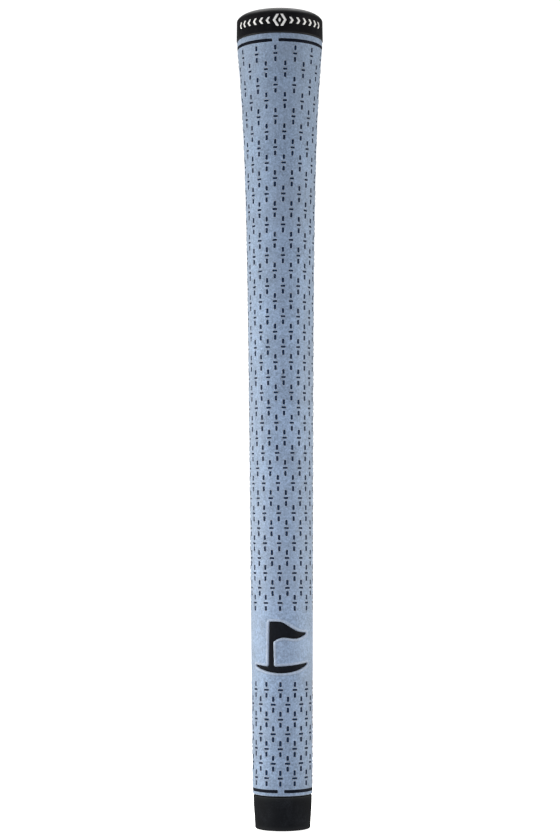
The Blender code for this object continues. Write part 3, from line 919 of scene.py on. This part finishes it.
def make_cover(material):
    build = Build()
    upper = pattern(build, UPPER_W, UPPER_ROWS, UPPER_HEAD, 0.375)
    lower = pattern(build, LOWER_W, LOWER_ROWS, 0.375, 0.3125)
    recess(build, upper + lower)
    emblem_zone(build, float(z_of(LOWER_W + 0.375)), float(z_of(UPPER_W - UPPER_ROWS + 1 - 0.375)))
    # ring zones
    for z_mid, turn, z_lo, z_hi in (
            (UPPER_RING_Z, UPPER_RING_TURN, float(z_of(UPPER_W + UPPER_HEAD)), 257.1),
            (LOWER_RING_Z, LOWER_RING_TURN, 11.6, float(z_of(LOWER_W - LOWER_ROWS + 1 - 0.3125)))):
        r = float(skin(z_mid))
        outlines = []
        for side in (1, -1):
            a, z = ring_bar(side, z_mid, turn, r, 0.115)
            outlines.append(np.stack([a, z], 1))
            floor_a, floor_z = ring_bar(side, z_mid, turn, r, 0.035)
            cap = outline_cap(floor_a, floor_z, r)
            points, faces, count = steps_of(
                cover_skin, lambda grow, s=side: ring_bar(s, z_mid, turn, r, grow), build,
                [(0.115, 0.0), (0.055, 0.006), (0.035, -0.04), (0.035, -0.55)], cap)
            # the lip crest round each ring bar is lightened: a painted highlight where the lip catches the light,
            # partly edge wear
            build.add(points, faces, np.repeat([0.0, 0.55, 0.2, 0.0], count))
        # the back seam of this zone lies in the ring's break
        zone_shifted(build, z_lo, z_hi, outlines, 180.0 + float(turn - lean(z_mid)), r)
    # ends and inside
    up, down = float(lean(257.1)), float(lean(11.6))
    top = [(BAND_R, 257.1), (BAND_R, 257.6), (BAND_R - 0.002, COVER_TOP - 0.12), (BAND_R - 0.04, COVER_TOP - 0.03),
           (BAND_R - 0.11, COVER_TOP),
           (TONGUE_R1 + 0.25, COVER_TOP), (TONGUE_R1 + 0.25, TONGUE_Z - 0.25), (TONGUE_R0 - 0.25, TONGUE_Z - 0.25),
           (TONGUE_R0 - 0.25, COVER_TOP), (core_r(COVER_Z1) + 0.25, COVER_TOP)]
    wall = [(core_r(z) + 0.25, z) for z in (230.0, 190.0, 150.0, 110.0, 70.0, 40.0)]
    r0 = float(skin(11.6))
    low = [(core_r(COVER_Z0) + 0.25, COVER_Z0), (r0 - 0.28, COVER_Z0), (r0 - 0.14, COVER_Z0 + 0.03),
           (r0 - 0.04, COVER_Z0 + 0.12), (r0, 11.6)]
    rings = [circle(r, z, up, 0) for r, z in top]
    rings += [circle(r, z, down + (up - down) * (z - COVER_Z0) / (COVER_Z1 - COVER_Z0), 0) for r, z in wall]
    rings += [circle(r, z, down, 0) for r, z in low]
    chain(build, rings, wear_and_highlight=[0, 0, 0.2, 0.4, 0] + [0] * (5 + len(wall)) + [0, 0, 0.3, 0.5, 0])
    return finish_piece(build, "cover_rubber_skin", material, "cover_rubber", "grip_cover"), upper + lower


def zone_shifted(build, z_lo, z_hi, outlines, seam, r):
    """A ring's zone: its bars cross the angle 180, so the seam is put into the break at the back."""
    columns, seam = rim_from(seam)
    frame_points = [(a, z_lo) for a in columns] + [(a, z_hi) for a in columns[::-1]]
    points, loops, at = [np.array(frame_points)], [], len(frame_points)
    for outline in outlines:
        o = outline.copy()
        loops.append(np.arange(len(o)) + at)
        points.append(o)
        at += len(o)
    points = np.concatenate(points)
    flat = points * (math.radians(1) * r, 1.0)
    tris = triangulate(flat, [np.arange(len(frame_points))], loops)
    build.add(cover_skin.xyz(points[:, 0], points[:, 1]), [tris])


def make_ring_paint(name, side, z_mid, turn, material, node):
    build = Build()
    r = float(skin(z_mid))
    rings = [(0.022, -0.50), (0.022, -0.07), (-0.02, -0.03), (-0.10, -0.012)]
    cap_a, cap_z = ring_bar(side, z_mid, turn, r, -0.10)
    low_a, low_z = ring_bar(side, z_mid, turn, r, 0.022)
    points, faces, n = steps_of(cover_skin, lambda grow: ring_bar(side, z_mid, turn, r, grow), build, rings,
                                outline_cap(cap_a, cap_z, r))
    faces.append(outline_cap(low_a, low_z, r)[:, ::-1])
    # the paint's crown is lightened: partly worn paint, partly a painted highlight on the crown
    build.add(points, faces, np.repeat([0, 0, 0.3, 1.0], n))
    return finish_piece(build, name, material, "dark_inlay", node)


def make_cap(material):
    build = Build()
    marks = cap_marks()
    z_lo, z_hi = CAP_Z0 + 0.9, CAP_SIDE_Z - 0.15
    outlines = []
    shift = 0.0
    for _, outline in marks:
        shape = split_long(soften(outline))
        shape[:, 0] = (shape[:, 0] + math.pi * CAP_LIP_R) % (2 * math.pi * CAP_LIP_R) - math.pi * CAP_LIP_R \
            if abs(outline[:, 0].mean() - math.pi * CAP_LIP_R) > 6.0 else shape[:, 0]

        def of(grow, shape=shape):
            return cap_place(offset(shape, grow))

        a, z = of(0.10)
        outlines.append(np.stack([a, z], 1))
        fa, fz = of(0.045)
        points, faces, n = steps_of(cap_skin, of, build, [(0.10, 0.0), (0.055, -0.02), (0.045, -0.42)],
                                    outline_cap(fa, fz, CAP_LIP_R))
        # the lip round each cap mark is lightened: a painted highlight on the lip, partly edge wear
        build.add(points, faces, np.repeat([0.0, 0.5, 0.0], n))
    # the seam is put between two runs of marks, at the side
    seam = 90.0
    columns = seam - 360.0 + np.arange(0, 97) * STEP
    frame_points = [(a, z_lo) for a in columns] + [(a, z_hi) for a in columns[::-1]]
    points, loops, at = [np.array(frame_points)], [], len(frame_points)
    for outline in outlines:
        o = outline.copy()
        while o[:, 0].mean() > seam:
            o[:, 0] -= 360.0
        while o[:, 0].mean() < seam - 360.0:
            o[:, 0] += 360.0
        loops.append(np.arange(len(o)) + at)
        points.append(o)
        at += len(o)
    points = np.concatenate(points)
    tris = triangulate(points * (math.radians(1) * CAP_LIP_R, 1.0), [np.arange(len(frame_points))], loops)
    build.add(cap_skin.xyz(points[:, 0], points[:, 1]), [tris])
    side_hi, side_lo = float(cap_side(z_hi)), float(cap_side(z_lo))
    profile = [(side_hi, z_hi)]
    for k in range(13):
        t = math.pi / 2 * k / 12
        profile.append((CAP_SHOULDER_R + (CAP_TOP_R - CAP_SHOULDER_R) * max(0.0, math.cos(t)) ** CAP_ROLL,
                        CAP_SIDE_Z + (CAP_SHOULDER_Z - CAP_SIDE_Z) * math.sin(t) ** CAP_ROLL))
    crown = [(r, CAP_SHOULDER_Z + (LENGTH - CAP_SHOULDER_Z) * (1 - (r / CAP_SHOULDER_R) ** 2))
             for r in (10.4, 9.6, 8.6, 7.4, 6.2, 4.8, 3.4)]
    profile += crown + [(VENT_R + 0.62, LENGTH - 0.004), (VENT_R + 0.38, LENGTH - 0.05), (VENT_R + 0.14, LENGTH - 0.20),
                        (VENT_R, LENGTH - 0.50), (VENT_R, SEAT_Z), (BUTT_BORE_R, SEAT_Z), (BUTT_BORE_R, CAP_Z0),
                        (TONGUE_R0, CAP_Z0), (TONGUE_R0, TONGUE_Z), (TONGUE_R1, TONGUE_Z), (TONGUE_R1, CAP_Z0)]
    profile += [(CAP_LIP_R - 0.42, CAP_Z0)] + arc(CAP_LIP_R - 0.38, CAP_Z0 + 0.38, 0.38, -90, 0, 5)[1:]
    profile += [(float(cap_side(CAP_Z0 + 0.6)), CAP_Z0 + 0.6), (side_lo, z_lo)]
    # the roll over the cap's shoulder is lightened most: a painted highlight where the overhead light catches it; the
    # vent and lip edges get edge wear
    wear_and_highlight = [0.0] + [0.35 + 0.5 * math.sin(math.pi * k / 12) for k in range(13)] + [0.15] * 7 + [0.3, 0.5, 0.3] + \
        [0.0] * 9 + [0.2, 0.3, 0.5, 0.4, 0.2] + [0.0, 0.0]
    wear_and_highlight = (wear_and_highlight + [0.0] * len(profile))[:len(profile)]
    chain(build, [circle(r, z) for r, z in profile], wear_and_highlight=wear_and_highlight)
    return finish_piece(build, "cap_rubber_shell", material, "cap_rubber", "butt_cap")


def make_cap_marks(material):
    made = []
    for node, outline in cap_marks():
        build = Build()
        shape = split_long(soften(outline))

        def of(grow):
            return cap_place(offset(shape, grow))

        ta, tz = of(-0.02)
        la, lz = of(0.035)
        points, faces, n = steps_of(cap_skin, of, build, [(0.035, -0.40), (0.035, -0.035), (-0.02, 0.0)],
                                    outline_cap(ta, tz, CAP_LIP_R))
        faces.append(outline_cap(la, lz, CAP_LIP_R)[:, ::-1])
        build.add(points, faces)
        made.append(finish_piece(build, node + "_paint", material, "white_inlay", node))
    return made


def make_collar(material):
    build = Build()
    profile = [(MOUTH_BORE_R + 0.34, 0.0), (7.6, 0.0), (8.2, 0.0)]
    profile += arc(COLLAR_LOW_R - 0.52, 0.52, 0.52, -90, 4, 8)
    for z in (1.6, 3.0, 4.6, 6.2, 7.8, 9.2):
        profile.append((COLLAR_LOW_R + (COLLAR_TOP_R - COLLAR_LOW_R) * ease(np.array(z / 9.6)) ** 0.9 - 0.02, z))
    profile += arc(COLLAR_TOP_R - 0.36, COLLAR_Z1 - 0.36, 0.36, 0, 90, 6)
    profile += [(core_r(COLLAR_Z1) + 0.25, COLLAR_Z1), (core_r(LIP_THICK) + 0.25, LIP_THICK), (bore_r(LIP_THICK), LIP_THICK),
                (MOUTH_BORE_R, 0.62), (MOUTH_BORE_R + 0.05, 0.30), (MOUTH_BORE_R + 0.16, 0.10)]
    # the top edge's round is lightened most: a painted highlight along the edge under the cover; the lower round gets
    # edge wear
    wear_and_highlight = [0.15] * 3 + [0.35] * 9 + [0.0] * 6 + [0.2, 0.5, 0.8, 0.8, 0.5, 0.2, 0.0] + [0.0] * 6
    lathe(build, [(float(r), float(z)) for r, z in profile], wear_and_highlight=(wear_and_highlight + [0.0] * 40)[:len(profile)])
    return finish_piece(build, "tip_collar_sleeve", material, "collar_rubber", "tip_collar")


def make_core(material):
    build = Build()
    heights = [CORE_Z0 + 3.0, 20, 50, 90, 130, 170, 210, 240, COVER_Z1]
    profile = [(bore_r(CORE_Z0) + 0.25, CORE_Z0), (core_r(CORE_Z0) - 0.1, CORE_Z0), (core_r(CORE_Z0), CORE_Z0 + 0.1)]
    profile += [(core_r(z), z) for z in (60, 130, 200, COVER_Z1 - 0.15)] + [(core_r(COVER_Z1) - 0.15, COVER_Z1)]
    profile += [(bore_r(z), z) for z in reversed(heights)]
    lathe(build, profile)
    return finish_piece(build, "core_tube", material, "core_rubber", "inner_core")


cover, cells = make_cover(cover_material())
paint = paint_material("dark_pattern_paint", (0.0016, 0.0125, 0.0440), (0.022, 0.045, 0.090))
ring_paint = paint_material("dark_ring_paint", (0.0012, 0.0030, 0.0090), (0.004, 0.008, 0.020))
marks = Build()
mark_paint(marks, cells)
finish_marks = marks.make("pattern_paint")
finish_marks.data.materials.append(paint)
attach(finish_marks, "root")
for label, z_mid, turn in (("upper_ring", UPPER_RING_Z, UPPER_RING_TURN), ("lower_ring", LOWER_RING_Z, LOWER_RING_TURN)):
    for side_name, side in (("right", 1), ("left", -1)):
        make_ring_paint(label + "_paint_" + side_name, side, z_mid, turn, ring_paint, label + "_inlay_" + side_name)
emblem_build = Build()
emblem_paint(emblem_build)
finish_piece(emblem_build, "emblem_paint", emblem_material(), "dark_inlay", "emblem_inlay", sharp=60.0)
make_cap(black_rubber("cap_black_rubber", (0.0060, 0.0060, 0.0080), (0.0115, 0.0115, 0.0140), 0.44))
make_cap_marks(white_paint())
make_collar(black_rubber("collar_black_rubber", (0.0080, 0.0090, 0.0116), (0.0155, 0.0172, 0.0215), 0.74, 0.06))
make_core(black_rubber("core_black_rubber", (0.016, 0.016, 0.018), (0.03, 0.03, 0.032), 0.75, 0.10, 1200.0))


# ---- floor, light and camera ---------------------------------------------------------------------
WORLD = 0.20
LAMPS = (       # name, place, size, power, colour; each faces the grip at its own height
    ("overhead", (0.0, 0.55, 1.30), (1.0, 0.9), 12.0, (1.0, 1.0, 1.0)),
    ("left", (-0.356, -0.05, 0.105), (0.24, 0.18), 1.60, (1.0, 0.97, 0.86)),
    ("right", (0.356, -0.05, 0.115), (0.24, 0.18), 1.15, (1.0, 0.97, 0.86)),
    ("front", (-0.04, -0.26, 0.082), (0.16, 0.12), 0.40, (0.94, 0.965, 1.0)),
    ("back", (0.04, 0.26, 0.090), (0.16, 0.12), 0.28, (0.94, 0.965, 1.0)),
    ("back_left", (-0.30, 0.28, 0.10), (0.25, 0.18), 0.20, (1.0, 0.98, 0.92)),
    ("back_right", (0.30, 0.28, 0.10), (0.25, 0.18), 0.20, (1.0, 0.98, 0.92)),
)


def studio():
    mesh = bpy.data.meshes.new("studio_floor")
    n, size = 48, 5.0
    points = [(0.0, 0.0, -0.0004)] + [(size * math.cos(2 * math.pi * k / n), size * math.sin(2 * math.pi * k / n), -0.0004)
                                      for k in range(n)]
    mesh.from_pydata(points, [], [(0, k + 1, (k + 1) % n + 1) for k in range(n)])
    floor = bpy.data.objects.new("studio_floor", mesh)
    bpy.context.scene.collection.objects.link(floor)
    m = Nodes("pale_floor")
    m.set(Base_Color=m.ramp(m.noise(3.0), [(0.3, (0.90, 0.90, 0.90)), (0.7, (0.92, 0.92, 0.92))]), Roughness=0.9,
          Specular_IOR_Level=0.1, Emission_Color=(1.0, 1.0, 1.0, 1.0), Emission_Strength=1.05)
    facing = m.node("ShaderNodeNewGeometry").outputs["Backfacing"]
    both = m.node("ShaderNodeMixShader", {0: facing, 1: m.shader.outputs[0],
                                          2: m.node("ShaderNodeBsdfTransparent").outputs[0]})
    m.tree.links.new(both.outputs[0], m.tree.nodes["Material Output"].inputs["Surface"])
    mesh.materials.append(m.material)
    floor.visible_diffuse = floor.visible_glossy = False

    world = bpy.data.worlds.new("studio")
    world.use_nodes = True
    nodes, links = world.node_tree.nodes, world.node_tree.links
    back = nodes["Background"]
    back.inputs["Color"].default_value = (1.0, 1.0, 1.0, 1.0)
    back.inputs["Strength"].default_value = WORLD
    seen = nodes.new("ShaderNodeBackground")
    seen.inputs["Color"].default_value = (1.0, 1.0, 1.0, 1.0)
    seen.inputs["Strength"].default_value = 1.15
    path = nodes.new("ShaderNodeLightPath")
    blend = nodes.new("ShaderNodeMixShader")
    links.new(path.outputs["Is Camera Ray"], blend.inputs[0])
    links.new(back.outputs[0], blend.inputs[1])
    links.new(seen.outputs[0], blend.inputs[2])
    links.new(blend.outputs[0], nodes["World Output"].inputs["Surface"])
    bpy.context.scene.world = world

    for name, at, size, power, colour in LAMPS:
        if power <= 0.0:
            continue
        data = bpy.data.lights.new(name, "AREA")
        data.shape, data.size, data.size_y = "RECTANGLE", size[0], size[1]
        data.energy, data.color = power, colour
        lamp = bpy.data.objects.new(name, data)
        lamp.location = at
        target = Vector((0.0, 0.0, 0.0 if name == "overhead" else at[2]))
        lamp.rotation_mode = "QUATERNION"
        lamp.rotation_quaternion = (target - Vector(at)).to_track_quat("-Z", "Y")
        lamp.visible_camera = False
        bpy.context.scene.collection.objects.link(lamp)


studio()
bpy.context.scene.view_settings.view_transform = "Standard"

cam_data = bpy.data.cameras.new("camera")
cam_data.sensor_width = 36.0
cam_data.lens = 2092.0 / 840.0 * 36.0
cam_data.clip_start, cam_data.clip_end = 0.01, 50.0
camera = bpy.data.objects.new("camera", cam_data)
tilt, roll = math.radians(3.15), math.radians(0.223)
forward = Vector((0.0, math.cos(tilt), math.sin(tilt)))
up0, right0 = Vector((0.0, -math.sin(tilt), math.cos(tilt))), Vector((1.0, 0.0, 0.0))
right = right0 * math.cos(roll) - up0 * math.sin(roll)
up = right0 * math.sin(roll) + up0 * math.cos(roll)
camera.matrix_world = Matrix((
    (right.x, up.x, -forward.x, -0.0004),
    (right.y, up.y, -forward.y, -0.6860),
    (right.z, up.z, -forward.z, 0.09492),
    (0.0, 0.0, 0.0, 1.0)))
bpy.context.scene.collection.objects.link(camera)
bpy.context.scene.camera = camera
